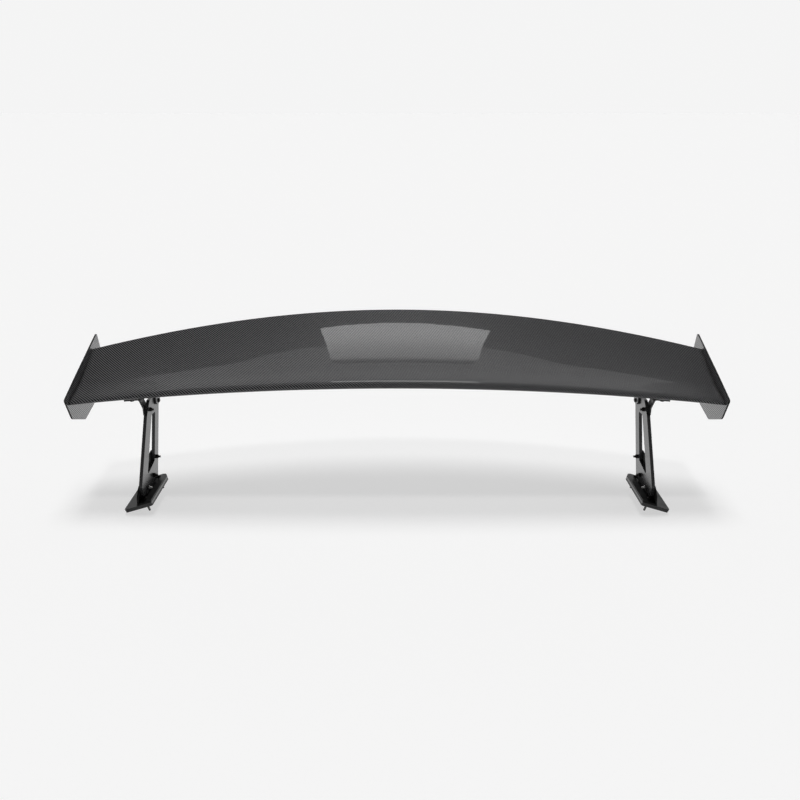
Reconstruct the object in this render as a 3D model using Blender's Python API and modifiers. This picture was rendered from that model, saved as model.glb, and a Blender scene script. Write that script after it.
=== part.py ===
"""Racing rear wing on two raked stands.

Metres, +Z up, X along the span, -Y to the front of the car. The origin is on the ground,
under the middle of the wing's bounding box. "left" is the car's left side, which is +X.
"""
import math

import bpy
import bmesh
from mathutils import Matrix, Vector

# ---- driving dimensions -------------------------------------------------------------------
HALF_SPAN = 0.8            # centre line to the outside of the end plate screws
SCREW_HEAD = 0.0015        # low heads on the end plates
END_PLATE = 0.004          # end plate thickness
GAP = 0.0003               # gap between touching pieces
WING_END = HALF_SPAN - SCREW_HEAD - END_PLATE - 2 * GAP

NOSE_TIP = (-0.1395, 0.2592)     # leading edge (y, z) at the wing's ends
NOSE_MID = (-0.1447, 0.3072)     # and at the centre line
TAIL_TIP = (0.0550, 0.3385)      # trailing edge (y, z)
TAIL_MID = (0.2176, 0.4030)
CAMBER = 0.075             # depth of the camber line, as a share of the chord
CAMBER_AT = 0.38           # where it is deepest
THICKNESS = 0.11
TAIL_HALF = 0.00165        # half the trailing edge's thickness
BOND = 0.00015             # half the glue line between the skins
SKIN = 0.0015
NOSE_HALF = 0.0009         # half height of the skins' blunt nose, ahead of the first station
NOSE_SHARE = 0.0022        # that station, as a share of the chord
SPAN_STEPS = 16
CHORD_STEPS = 12

CANT = math.radians(2.5)   # the stands spread towards the ground
STAND_X = 0.614            # mid-plane of a stand plate at the pivot's height
STAND_Z = 0.237
STAND_PLATE = 0.008
LEG_CLEAR = 0.0008         # between a stand plate and the pieces that turn with the wing
PIVOT = (-0.106, 0.234)    # (y, z) of the wing's tilt axis
SLOT_RADIUS = 0.060        # pivot to the adjuster bolt
SLOT_REST = math.radians(2)
SLOT_DOWN = math.radians(-6.5)
SLOT_UP = math.radians(9.5)
BOLT_R = 0.003             # M6 fasteners
HOLE_R = 0.0034
SLOT_R = 0.0036
NUT_FLAT = 0.010           # across flats
NUT_THICK = 0.005
HEAD_R = 0.0055
HEAD_H = 0.0035
SMALL_R = 0.002            # M4 screws
SMALL_HOLE = 0.0023
SMALL_HEAD = 0.0045
SEAT_GAP = 0.0004          # between the wing and what is screwed under it
SEAT_STEPS = 6
END_SCREW = 0.0165         # length of the end plate screws
DRILL_SPARE = 0.001        # what a drill passes a piece's face or a screw's tip by
CUT_REACH = 0.02           # half length of the drill through a stay
HEAD_EDGE = 0.35           # chamfer of a bolt head, as a share of its height
TIP = 0.3                  # chamfer of a bolt's tip, as a share of its radius
NUT_BORE = 0.00345
BOLT_TAIL = 0.005          # how far a bolt stands out of its nut
FOOT_TAIL = 0.006

BASE_CENTRE = (0.630, -0.139, 0.025)   # top of the base plate, in its middle
BASE_ROLL = math.radians(17)
BASE_SIZE = (0.071, 0.158)
BASE_PLATE = 0.005
PAD = 0.004
PAD_INSET = 0.0005
BRACKET = 0.004            # thickness of the foot bracket and the wing bracket
FOOT_BOLTS = ((-0.080, 0.0947), (-0.1119, 0.0577), (-0.165, 0.049))
BASE_BOLT_X = 0.0127       # inboard of the base's middle
BASE_BOLTS_Y = (-0.055, 0.067)
BASE_REACH = 0.0018        # the foot bracket's outer edge, outboard of the base's middle

STAND_OUTLINE = (
    (-0.131, 0.226), (-0.2069, 0.070), (-0.199, 0.040), (-0.170, 0.0345), (-0.0764, 0.0345),
    (-0.0213, 0.256), (-0.103, 0.256))
STAND_RADII = (0.010, 0.008, 0.010, 0.008, 0.006, 0.006, 0.008)
STAND_WINDOW = ((-0.094, 0.215), (-0.1586, 0.0788), (-0.0943, 0.0900), (-0.064, 0.212))
WINDOW_RADII = (0.005, 0.006, 0.006, 0.005)
FOOT_FLANGE = (
    (-0.216, 0.0278), (-0.216, 0.0465), (-0.1999, 0.0664), (-0.1402, 0.071),
    (-0.1264, 0.1031), (-0.0864, 0.1124), (-0.068, 0.109), (-0.082, 0.0278))
FLANGE_RADII = (0.002, 0.012, 0.010, 0.008, 0.010, 0.008, 0.006, 0.004)
BASE_RADII = (0.005, 0.005, 0.016, 0.016)
LEG_END_RADII = (0.005, 0.002, 0.002, 0.016)
BRACKET_LEG = (
    (-0.066, 0.238), (-0.055, 0.2275), (-0.038, 0.2275), (-0.031, 0.236), (-0.031, 0.280),
    (-0.066, 0.280))
LEG_RADII = (0.008, 0.007, 0.006, 0.004, 0.001, 0.001)
BRACKET_Y = (-0.063, -0.033)
BRACKET_X = (0.568, 0.6085)
BRACKET_CORNER = 0.002
BRACKET_SCREWS = ((0.579, -0.048), (0.597, -0.048))
SCREW_BITE = 0.010         # how far a bracket screw reaches past the skin
STAY_Y = (-0.123, -0.097)
STAY_X = 0.6655
STAY_STRAP = 0.0035
STAY_FOOT = 0.0125         # below the pivot's height
STAY_KNEE = 0.006          # above it, where the strap leans outboard
STAY_LEAN = 0.0075
STAY_BEND = 0.0006         # the outside of a bend is this much longer
STAY_SCREW = (0.650, -0.110)
BLOCK_X = (0.565, 0.672)
BLOCK_CHORD = (0.07, 0.40)
BLOCK_CLEAR = 0.0010       # from the skins' inner faces
SPAR_CLEAR = 0.0012
SPAR_END_CLEAR = 0.001     # from the end ribs
RIB_CLEAR = 0.0008
SPAR_CHORD = (0.41, 0.53)
REAR_SPAR_CHORD = (0.70, 0.77)
RIB_LENGTH = 0.018
RIB_CHORD = (0.05, 0.90)
RIB_SCREWS = (0.18, 0.40, 0.62)

END_OUTLINE = (
    (-0.154, 0.2714), (-0.1279, 0.2159), (-0.0525, 0.1855), (0.021, 0.2037),
    (0.108, 0.3294), (0.097, 0.3704), (-0.078, 0.3050), (-0.1524, 0.2758))
END_RADII = (0.003, 0.020, 0.018, 0.030, 0.006, 0.004, 0.100, 0.002)

COLOURS = {
    "carbon": ((0.035, 0.036, 0.038), 0.22, 0.0),
    "core": ((0.30, 0.27, 0.20), 0.8, 0.0),
    "black_alloy": ((0.030, 0.030, 0.032), 0.38, 0.6),
    "alloy": ((0.55, 0.55, 0.56), 0.35, 1.0),
    "rubber": ((0.020, 0.020, 0.020), 0.8, 0.0),
    "steel": ((0.62, 0.62, 0.64), 0.28, 1.0),
}


# ---- scene and helpers --------------------------------------------------------------------
def clear_scene():
    for obj in list(bpy.data.objects):
        bpy.data.objects.remove(obj, do_unlink=True)


def new_collection(name):
    found = bpy.data.collections.new(name)
    bpy.context.scene.collection.children.link(found)
    return found


def make_material(name):
    colour, roughness, metallic = COLOURS[name]
    material = bpy.data.materials.new(name)
    material.use_nodes = True
    shader = material.node_tree.nodes["Principled BSDF"]
    shader.inputs["Base Color"].default_value = (*colour, 1.0)
    shader.inputs["Roughness"].default_value = roughness
    shader.inputs["Metallic"].default_value = metallic
    return material


clear_scene()
PARTS = new_collection("racing_rear_wing")
CUTTERS = new_collection("cutters")
MATERIALS = {name: make_material(name) for name in COLOURS}


def add_object(name, mesh, material, parent=None, matrix=None):
    """Put a mesh in the model as a named piece."""
    obj = bpy.data.objects.new(name, mesh)
    PARTS.objects.link(obj)
    mesh.materials.clear()
    mesh.materials.append(MATERIALS[material])
    obj.parent = parent
    if matrix is not None:
        obj.matrix_local = matrix
    return obj


def add_cutter(name, mesh, parent=None, matrix=None):
    obj = bpy.data.objects.new(name, mesh)
    CUTTERS.objects.link(obj)
    obj.hide_render = True
    obj.display_type = "WIRE"
    obj.parent = parent
    if matrix is not None:
        obj.matrix_local = matrix
    return obj


def boolean(obj, tool, operation):
    modifier = obj.modifiers.new(tool.name, "BOOLEAN")
    modifier.operation = operation
    modifier.object = tool
    modifier.solver = "EXACT"


def rounded(points, radius, steps=3):
    """A closed outline with each corner replaced by an arc."""
    radii = radius if isinstance(radius, (tuple, list)) else [radius] * len(points)
    outline = []
    for index, corner in enumerate(points):
        here = Vector(corner)
        before = (Vector(points[index - 1]) - here).normalized()
        after = (Vector(points[(index + 1) % len(points)]) - here).normalized()
        half = before.angle(after) / 2
        middle = (before + after).normalized()
        centre = here + middle * radii[index] / math.sin(half)
        start = here + before * radii[index] / math.tan(half) - centre
        end = here + after * radii[index] / math.tan(half) - centre
        turn = start.angle_signed(end)
        for step in range(steps + 1):
            arm = start.copy()
            arm.rotate(Matrix.Rotation(-turn * step / steps, 2))
            outline.append(tuple(centre + arm))
    return outline


def circle(centre, radius, count=16):
    angles = [2 * math.pi * index / count for index in range(count)]
    return [(centre[0] + radius * math.cos(a), centre[1] + radius * math.sin(a)) for a in angles]


def hexagon(across_flats):
    return circle((0, 0), across_flats / math.sqrt(3), 6)


def arc_slot(centre, radius, low, high, half_width, steps=5):
    """The outline of a curved slot with round ends."""
    points = []
    for step in range(steps + 1):
        a = low + (high - low) * step / steps
        points.append((centre[0] + (radius + half_width) * math.cos(a),
                       centre[1] + (radius + half_width) * math.sin(a)))
    for turn in range(1, 5):
        points.append(slot_end(centre, radius, high, half_width, high + turn * math.pi / 5))
    for step in range(steps, -1, -1):
        a = low + (high - low) * step / steps
        points.append((centre[0] + (radius - half_width) * math.cos(a),
                       centre[1] + (radius - half_width) * math.sin(a)))
    for turn in range(1, 5):
        points.append(slot_end(centre, radius, low, half_width, low + math.pi + turn * math.pi / 5))
    return points


def slot_end(centre, radius, at, half_width, direction):
    return (centre[0] + radius * math.cos(at) + half_width * math.cos(direction),
            centre[1] + radius * math.sin(at) + half_width * math.sin(direction))


def flat_mesh(name, loops, thickness):
    """A flat piece from closed outlines; every outline after the first is a hole."""
    curve = bpy.data.curves.new(name, "CURVE")
    curve.dimensions = "2D"
    curve.fill_mode = "BOTH"
    curve.extrude = thickness / 2
    for loop in loops:
        spline = curve.splines.new("POLY")
        spline.points.add(len(loop) - 1)
        for point, (x, y) in zip(spline.points, loop):
            point.co = (x, y, 0, 1)
        spline.use_cyclic_u = True
    holder = bpy.data.objects.new(name + "_outline", curve)
    PARTS.objects.link(holder)
    graph = bpy.context.evaluated_depsgraph_get()
    mesh = bpy.data.meshes.new_from_object(holder.evaluated_get(graph))
    bpy.data.objects.remove(holder, do_unlink=True)
    work = bmesh.new()
    work.from_mesh(mesh)
    bmesh.ops.remove_doubles(work, verts=work.verts, dist=0.00001)
    bmesh.ops.recalc_face_normals(work, faces=work.faces)
    work.to_mesh(mesh)
    work.free()
    return mesh


def loft_mesh(name, rings):
    """A closed solid through rings of the same number of points."""
    work = bmesh.new()
    rows = [[work.verts.new(point) for point in ring] for ring in rings]
    for low, high in zip(rows, rows[1:]):
        for index in range(len(low)):
            after = (index + 1) % len(low)
            work.faces.new((low[index], low[after], high[after], high[index]))
    work.faces.new(rows[0])
    work.faces.new(rows[-1])
    bmesh.ops.recalc_face_normals(work, faces=work.faces)
    mesh = bpy.data.meshes.new(name)
    work.to_mesh(mesh)
    work.free()
    return mesh


def cylinder_mesh(name, radius, low, high, segments=16):
    """A cylinder along its own Z."""
    work = bmesh.new()
    bmesh.ops.create_cone(work, cap_ends=True, segments=segments, radius1=radius,
                          radius2=radius, depth=high - low,
                          matrix=Matrix.Translation((0, 0, (low + high) / 2)))
    mesh = bpy.data.meshes.new(name)
    work.to_mesh(mesh)
    work.free()
    return mesh


def turned_piece(name, profile, material, parent, matrix, segments=12):
    """A turned piece: the profile (radius, height) runs from the top down."""
    mesh = bpy.data.meshes.new(name)
    mesh.from_pydata([(r, 0, z) for r, z in profile],
                     [(i, i + 1) for i in range(len(profile) - 1)], [])
    obj = add_object(name, mesh, material, parent, matrix)
    screw = obj.modifiers.new("turn", "SCREW")
    screw.axis = "Z"
    screw.steps = segments
    screw.render_steps = segments
    screw.use_merge_vertices = True
    screw.merge_threshold = 0.00005
    screw.use_smooth_shade = True
    return obj


def bolt_profile(radius, length, head_r, head_h):
    """A button head above z = 0 and a shank below it."""
    edge = head_h * HEAD_EDGE
    return [(0, head_h), (head_r - edge, head_h), (head_r, head_h - edge), (head_r, 0),
            (radius, 0), (radius, radius * TIP - length), (radius * (1 - TIP), -length),
            (0, -length)]


TO_SIDE = Matrix(((0, 0, 1, 0), (1, 0, 0, 0), (0, 1, 0, 0), (0, 0, 0, 1)))   # flat (x, y) to (y, z)


def shift(x, y, z):
    return Matrix.Translation((x, y, z))


# ---- the wing's shape ---------------------------------------------------------------------
def camber(x):
    if x < CAMBER_AT:
        return -CAMBER / CAMBER_AT ** 2 * (2 * CAMBER_AT * x - x * x)
    return -CAMBER / (1 - CAMBER_AT) ** 2 * (1 - 2 * CAMBER_AT + 2 * CAMBER_AT * x - x * x)


def half_thickness(x):
    return 5 * THICKNESS * (0.2969 * math.sqrt(x) - 0.126 * x - 0.3516 * x ** 2
                            + 0.2843 * x ** 3 - 0.1036 * x ** 4)


def section(span):
    """Leading edge, chord vector and the vector across it, at a place along the span."""
    share = (span / WING_END) ** 2
    nose = Vector((span, *[m + (t - m) * share for m, t in zip(NOSE_MID, NOSE_TIP)]))
    tail = Vector((span, *[m + (t - m) * share for m, t in zip(TAIL_MID, TAIL_TIP)]))
    along = tail - nose
    across = Vector((0, -along.z, along.y)).normalized()
    return nose, along, across


def surface(span, x, side, inset=0.0):
    """A point on the upper (side 1) or lower (side -1) surface, or inset below it."""
    nose, along, across = section(span)
    height = half_thickness(x) * along.length + TAIL_HALF * x + BOND - inset
    return nose + along * x + across * (camber(x) * along.length + side * height)


def chord_stations():
    return [(1 - math.cos(math.pi * step / CHORD_STEPS)) / 2 for step in range(CHORD_STEPS + 1)]


def lower_point(span, y):
    """The lower surface's point above the given plan position."""
    low, high = 0.0, 1.0
    for _ in range(40):
        middle = (low + high) / 2
        if surface(span, middle, -1).y < y:
            low = middle
        else:
            high = middle
    return surface(span, low, -1)


def seat_under(side, x_range, y_range):
    """The height (x, y) of the plane that lies just under the wing over a rectangle."""
    (x0, x1), (y0, y1) = [side * x for x in x_range], y_range
    corner = {(x, y): lower_point(x, y).z for x in (x0, x1) for y in (y0, y1)}
    slope_x = (corner[x1, y0] + corner[x1, y1] - corner[x0, y0] - corner[x0, y1]) / 2 / (x1 - x0)
    slope_y = (corner[x0, y1] + corner[x1, y1] - corner[x0, y0] - corner[x1, y0]) / 2 / (y1 - y0)
    shares = [index / SEAT_STEPS for index in range(SEAT_STEPS + 1)]
    spots = [(x0 + (x1 - x0) * i, y0 + (y1 - y0) * j) for i in shares for j in shares]
    level = min(lower_point(x, y).z - slope_x * x - slope_y * y for x, y in spots) - SEAT_GAP
    return lambda x, y: level + slope_x * x + slope_y * y


def seat_frame(seat, x, y, below=0.0):
    """A frame on a seat whose Z is square to it and points into the wing."""
    slope_x = seat(1, 0) - seat(0, 0)
    slope_y = seat(0, 1) - seat(0, 0)
    along = Vector((1, 0, slope_x)).normalized()
    normal = Vector((-slope_x, -slope_y, 1)).normalized()
    turn = Matrix((along, normal.cross(along), normal)).transposed().to_4x4()
    return shift(x, y, seat(x, y)) @ turn @ shift(0, 0, -below)


def make_skin(name, side):
    """One moulded skin: an open surface, thickened inwards."""
    work = bmesh.new()
    rows = []
    for step in range(SPAN_STEPS + 1):
        span = WING_END * (2 * step / SPAN_STEPS - 1)
        nose, _, across = section(span)
        line = [nose + across * side * BOND, nose + across * side * NOSE_HALF]
        line += [surface(span, x, side) for x in [NOSE_SHARE] + chord_stations()[1:]]
        rows.append([work.verts.new(point) for point in line])
    for low, high in zip(rows, rows[1:]):
        for index in range(len(low) - 1):
            corners = (low[index], high[index], high[index + 1], low[index + 1])
            work.faces.new(corners if side > 0 else corners[::-1])
    mesh = bpy.data.meshes.new(name)
    work.to_mesh(mesh)
    work.free()
    skin = add_object(name, mesh, "carbon")
    solidify = skin.modifiers.new("thickness", "SOLIDIFY")
    solidify.thickness = SKIN
    solidify.offset = -1
    return skin


def inner_ring(span, chord, steps, clear):
    """A closed section inside the skins between two shares of the chord."""
    shares = [chord[0] + (chord[1] - chord[0]) * step / steps for step in range(steps + 1)]
    top = [surface(span, x, 1, SKIN + clear) for x in shares]
    bottom = [surface(span, x, -1, SKIN + clear) for x in reversed(shares)]
    return top + bottom


def make_spar(name, chord):
    end = WING_END - RIB_LENGTH - SPAR_END_CLEAR
    spans = [end * (2 * step / SPAN_STEPS - 1) for step in range(SPAN_STEPS + 1)]
    rings = [inner_ring(span, chord, 1, SPAR_CLEAR) for span in spans]
    return add_object(name, loft_mesh(name, rings), "core")


def make_end_rib(name, side):
    rings = [inner_ring(side * (WING_END - RIB_LENGTH * share), RIB_CHORD, 9, RIB_CLEAR)
             for share in (0, 0.5, 1)]
    rib = add_object(name, loft_mesh(name, rings), "core")
    for index, spot in enumerate(rib_screw_spots()):
        mesh = cylinder_mesh(name + "_drill", SMALL_HOLE, -END_SCREW - DRILL_SPARE, END_PLATE, 12)
        drill = add_cutter(f"{name}_drill_{index}", mesh, None, screw_frame(side, spot))
        boolean(rib, drill, "DIFFERENCE")
    return rib


def rib_screw_spots():
    """(y, z) of the end plate screws, on the camber line."""
    nose, along, across = section(WING_END)
    spots = []
    for x in RIB_SCREWS:
        point = nose + along * x + across * camber(x) * along.length
        spots.append((point.y, point.z))
    return spots


def screw_frame(side, spot):
    """A frame on the end plate's outside, its Z pointing away from the wing."""
    outside = HALF_SPAN - SCREW_HEAD
    return shift(side * outside, *spot) @ Matrix.Rotation(side * math.pi / 2, 4, "Y")


def make_end_plate(label, side):
    loops = [rounded(END_OUTLINE, END_RADII, 4)]
    loops += [circle(spot, SMALL_HOLE, 12) for spot in rib_screw_spots()]
    mesh = flat_mesh("end_plate_" + label, loops, END_PLATE)
    middle = HALF_SPAN - SCREW_HEAD - GAP - END_PLATE / 2
    add_object("end_plate_" + label, mesh, "carbon", None, shift(side * middle, 0, 0) @ TO_SIDE)
    for place, spot in zip(("front", "middle", "rear"), rib_screw_spots()):
        profile = bolt_profile(SMALL_R, END_SCREW, SMALL_HEAD, SCREW_HEAD)
        turned_piece(f"end_screw_{place}_{label}", profile, "steel", None, screw_frame(side, spot))


def make_wing():
    make_skin("upper_skin", 1)
    lower = make_skin("lower_skin", -1)
    make_spar("main_spar", SPAR_CHORD)
    make_spar("rear_spar", REAR_SPAR_CHORD)
    for label, side in SIDES:
        make_end_rib("end_rib_" + label, side)
        make_end_plate(label, side)
        block = make_mount_block(label, side)
        make_wing_bracket(label, side, lower, block)
        make_wing_stay(label, side, lower, block)


def make_mount_block(label, side):
    """The hard block inside the wing that the bracket screws bite into."""
    spans = [side * (BLOCK_X[0] + (BLOCK_X[1] - BLOCK_X[0]) * step / 3) for step in range(4)]
    rings = [inner_ring(span, BLOCK_CHORD, 4, BLOCK_CLEAR) for span in spans]
    name = "mount_block_" + label
    return add_object(name, loft_mesh(name, rings), "alloy")


# ---- what joins the wing to the stands ----------------------------------------------------
def bracket_screw(name, seat, spot, thickness, drilled):
    """A screw from below through a flange and the lower skin into the mount block."""
    length = thickness + GAP + SKIN + SCREW_BITE
    frame = seat_frame(seat, *spot, thickness + GAP) @ Matrix.Rotation(math.pi, 4, "X")
    turned_piece(name, bolt_profile(BOLT_R, length, HEAD_R, HEAD_H), "steel", None, frame)
    drill_mesh = cylinder_mesh(name, HOLE_R, -length - DRILL_SPARE, DRILL_SPARE)
    drill = add_cutter(name + "_drill", drill_mesh, None, frame)
    for piece in drilled:
        boolean(piece, drill, "DIFFERENCE")


def make_wing_bracket(label, side, lower, block):
    """The rear bracket: a leg on the stand's inner face and a flange under the wing."""
    name = "wing_bracket_" + label
    seat = seat_under(side, BRACKET_X, BRACKET_Y)
    inboard = -STAND_PLATE / 2 - LEG_CLEAR - BRACKET / 2
    leg_x = side * (STAND_X + inboard)
    outline = [(y, min(z, seat(leg_x, y) - DRILL_SPARE)) for y, z in rounded(BRACKET_LEG, LEG_RADII)]
    loops = [outline, circle(adjuster_spot(), HOLE_R)]
    loops = [[(y, z - STAND_Z) for y, z in loop] for loop in loops]
    leg = add_object(name, flat_mesh(name, loops, BRACKET), "black_alloy",
                     STANDS[label], shift(side * inboard, 0, 0) @ TO_SIDE)
    width = BRACKET_X[1] - BRACKET_X[0]
    length = BRACKET_Y[1] - BRACKET_Y[0]
    corners = [(-width / 2, -length / 2), (width / 2, -length / 2),
               (width / 2, length / 2), (-width / 2, length / 2)]
    mesh = flat_mesh(name + "_flange", [rounded(corners, BRACKET_CORNER)], BRACKET)
    middle = (side * sum(BRACKET_X) / 2, sum(BRACKET_Y) / 2)
    flange = add_cutter(name + "_flange", mesh, None, seat_frame(seat, *middle, BRACKET / 2))
    boolean(leg, flange, "UNION")
    for place, (x, y) in zip(("inner", "outer"), BRACKET_SCREWS):
        bracket_screw(f"bracket_screw_{place}_{label}", seat, (side * x, y), BRACKET,
                      (leg, lower, block))


def make_wing_stay(label, side, lower, block):
    """The narrow outer stay: a bent strap from the pivot out to a flange under the wing."""
    name = "wing_stay_" + label
    inner = STAND_X + STAND_PLATE / 2 + LEG_CLEAR
    seat = seat_under(side, (inner + STAY_LEAN, STAY_X), STAY_Y)
    foot = STAND_Z - STAY_FOOT
    knee = STAND_Z + STAY_KNEE
    strap = STAY_STRAP
    rings = []
    for y in STAY_Y:
        top = [seat(side * x, y) for x in (inner + STAY_LEAN, STAY_X)]
        profile = [(inner, foot), (inner + strap, foot), (inner + strap, knee - STAY_BEND),
                   (inner + strap + STAY_LEAN, top[0] - strap), (STAY_X, top[1] - strap),
                   (STAY_X, top[1]), (inner + STAY_LEAN, top[0]), (inner, knee + STAY_BEND)]
        rings.append([(side * x, y, z) for x, z in profile])
    stay = add_object(name, loft_mesh(name, rings), "black_alloy")
    hole = add_cutter(name + "_pivot_hole", cylinder_mesh(name, HOLE_R, -CUT_REACH, CUT_REACH), None,
                      pivot_frame(side, PIVOT))
    boolean(stay, hole, "DIFFERENCE")
    bracket_screw("stay_screw_" + label, seat, (side * STAY_SCREW[0], STAY_SCREW[1]), strap,
                  (stay, lower, block))


def adjuster_spot():
    return (PIVOT[0] + SLOT_RADIUS * math.cos(SLOT_REST),
            PIVOT[1] + SLOT_RADIUS * math.sin(SLOT_REST))


def pivot_frame(side, spot):
    """A frame in a stand plate's mid-plane whose Z points outboard."""
    return (shift(side * STAND_X, 0, STAND_Z) @ Matrix.Rotation(-side * CANT, 4, "Y")
            @ shift(0, spot[0], spot[1] - STAND_Z) @ Matrix.Rotation(side * math.pi / 2, 4, "Y"))


def side_frame(side, spot, outboard):
    """A frame of a stand, at a distance outboard of the plate's mid-plane."""
    return (shift(side * outboard, spot[0], spot[1] - STAND_Z)
            @ Matrix.Rotation(side * math.pi / 2, 4, "Y"))


def bolt_and_nut(name, label, side, spot, outer, inner, tail):
    """A bolt and its nut; the head is outboard, or inboard where the side is negated."""
    under_head = outer + GAP
    nut_face = inner - GAP
    length = under_head - nut_face + NUT_THICK + tail
    turned_piece(f"{name}_bolt_{label}", bolt_profile(BOLT_R, length, HEAD_R, HEAD_H), "steel",
                 STANDS[label], side_frame(side, spot, under_head))
    mesh = flat_mesh(name, [hexagon(NUT_FLAT), circle((0, 0), NUT_BORE, 12)], NUT_THICK)
    add_object(f"{name}_nut_{label}", mesh, "steel", STANDS[label],
               side_frame(side, spot, nut_face - NUT_THICK / 2))


# ---- stands -------------------------------------------------------------------------------
def make_stand(label, side):
    name = "stand_plate_" + label
    outline = rounded(STAND_OUTLINE, STAND_RADII)
    loops = [outline, rounded(STAND_WINDOW, WINDOW_RADII),
             arc_slot(PIVOT, SLOT_RADIUS, SLOT_REST + SLOT_DOWN, SLOT_REST + SLOT_UP, SLOT_R)]
    loops += [circle(spot, HOLE_R) for spot in (PIVOT, *FOOT_BOLTS)]
    loops = [[(y, z - STAND_Z) for y, z in loop] for loop in loops]
    add_object(name, flat_mesh(name, loops, STAND_PLATE), "black_alloy", STANDS[label], TO_SIDE)
    half = STAND_PLATE / 2
    bolt_and_nut("pivot", label, side, PIVOT, half + LEG_CLEAR + STAY_STRAP, -half, BOLT_TAIL)
    bolt_and_nut("adjuster", label, -side, adjuster_spot(), half + LEG_CLEAR + BRACKET,
                 -half - LEG_CLEAR, BOLT_TAIL)
    for place, spot in zip(("rear", "middle", "front"), FOOT_BOLTS):
        bolt_and_nut("foot_" + place, label, side, spot, half + GAP + BRACKET, -half, FOOT_TAIL)


def base_outline(inset=0.0):
    width, length = (size / 2 - inset for size in BASE_SIZE)
    corners = [(-width, -length), (width, -length), (width, length), (-width, length)]
    return rounded(corners, BASE_RADII, 4)


def make_foot(label, side):
    """Rubber pad, base plate and the bracket that carries the stand plate."""
    base = BASES[label]
    bolt_x = -side * BASE_BOLT_X
    holes = [circle((bolt_x, y), HOLE_R, 12) for y in BASE_BOLTS_Y]
    plate = flat_mesh("base_plate_" + label, [base_outline()] + holes, BASE_PLATE)
    add_object("base_plate_" + label, plate, "black_alloy", base, shift(0, 0, -BASE_PLATE / 2))
    pad = flat_mesh("foot_pad_" + label, [base_outline(PAD_INSET)] + holes, PAD)
    add_object("foot_pad_" + label, pad, "rubber", base, shift(0, 0, -BASE_PLATE - GAP - PAD / 2))
    make_foot_bracket(label, side, base, holes)
    top = GAP + BRACKET + GAP
    height = BASE_CENTRE[2] + BASE_BOLT_X * math.sin(BASE_ROLL) + top * math.cos(BASE_ROLL)
    length = (height - BOLT_R * (1 - TIP) * math.sin(BASE_ROLL)) / math.cos(BASE_ROLL)
    for place, y in zip(("front", "rear"), BASE_BOLTS_Y):
        turned_piece(f"base_bolt_{place}_{label}", bolt_profile(BOLT_R, length, HEAD_R, HEAD_H),
                     "steel", base, shift(bolt_x, y, top))


def make_foot_bracket(label, side, base, holes):
    name = "foot_bracket_" + label
    loops = [rounded(FOOT_FLANGE, FLANGE_RADII)]
    loops += [circle(spot, HOLE_R) for spot in FOOT_BOLTS]
    loops = [[(y, z - STAND_Z) for y, z in loop] for loop in loops]
    outboard = STAND_PLATE / 2 + GAP + BRACKET / 2
    flange = add_object(name, flat_mesh(name, loops, BRACKET), "black_alloy", STANDS[label],
                        shift(side * outboard, 0, 0) @ TO_SIDE)
    width, length = (size / 2 for size in BASE_SIZE)
    corners = [(-width, -length), (BASE_REACH, -length), (BASE_REACH, length), (-width, length)]
    radii = LEG_END_RADII
    if side < 0:
        corners = [(-x, y) for x, y in corners][::-1]
        radii = radii[::-1]
    leg = flat_mesh(name + "_leg", [rounded(corners, radii, 4)] + holes, BRACKET)
    tool = add_cutter(name + "_leg", leg, base, shift(0, 0, GAP + BRACKET / 2))
    boolean(flange, tool, "UNION")


# ---- build --------------------------------------------------------------------------------
def make_empty(name, location, turn):
    empty = bpy.data.objects.new(name, None)
    PARTS.objects.link(empty)
    empty.location = location
    empty.rotation_euler = (0, turn, 0)
    return empty


SIDES = (("left", 1), ("right", -1))
STANDS = {label: make_empty("stand_axis_" + label, (side * STAND_X, 0, STAND_Z), -side * CANT)
          for label, side in SIDES}
BASES = {label: make_empty("base_axis_" + label,
                           (side * BASE_CENTRE[0], BASE_CENTRE[1], BASE_CENTRE[2]),
                           side * BASE_ROLL)
         for label, side in SIDES}
make_wing()
for side_label, side_sign in SIDES:
    make_stand(side_label, side_sign)
    make_foot(side_label, side_sign)
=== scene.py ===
"""The looks of a racing rear wing on two raked stands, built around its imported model.

Metres, +Z up, X along the span, -Y to the front of the car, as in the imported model.
"left" is the car's left side, which is +X. A section's flat outlines are (y, z) pairs.
"""
import math

import bmesh
import bpy
from mathutils import Matrix, Vector


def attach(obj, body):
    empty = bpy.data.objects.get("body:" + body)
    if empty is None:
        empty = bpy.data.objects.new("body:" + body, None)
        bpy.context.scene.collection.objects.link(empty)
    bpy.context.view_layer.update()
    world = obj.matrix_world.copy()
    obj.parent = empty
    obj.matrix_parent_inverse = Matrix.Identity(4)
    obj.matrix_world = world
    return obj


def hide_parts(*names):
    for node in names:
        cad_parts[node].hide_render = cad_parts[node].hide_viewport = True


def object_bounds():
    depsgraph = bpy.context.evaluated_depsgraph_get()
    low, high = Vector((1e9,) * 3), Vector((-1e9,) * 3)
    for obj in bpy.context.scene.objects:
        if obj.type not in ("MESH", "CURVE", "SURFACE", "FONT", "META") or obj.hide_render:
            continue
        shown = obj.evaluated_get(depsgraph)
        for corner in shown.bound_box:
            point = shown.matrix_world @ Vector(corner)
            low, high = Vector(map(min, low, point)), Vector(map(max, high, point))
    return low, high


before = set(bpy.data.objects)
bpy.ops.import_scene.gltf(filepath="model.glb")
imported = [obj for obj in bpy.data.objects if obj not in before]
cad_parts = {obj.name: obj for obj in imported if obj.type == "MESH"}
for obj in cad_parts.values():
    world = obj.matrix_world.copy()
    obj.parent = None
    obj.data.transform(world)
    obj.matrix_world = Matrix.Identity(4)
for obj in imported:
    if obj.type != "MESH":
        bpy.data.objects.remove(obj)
CAD_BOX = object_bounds()

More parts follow.
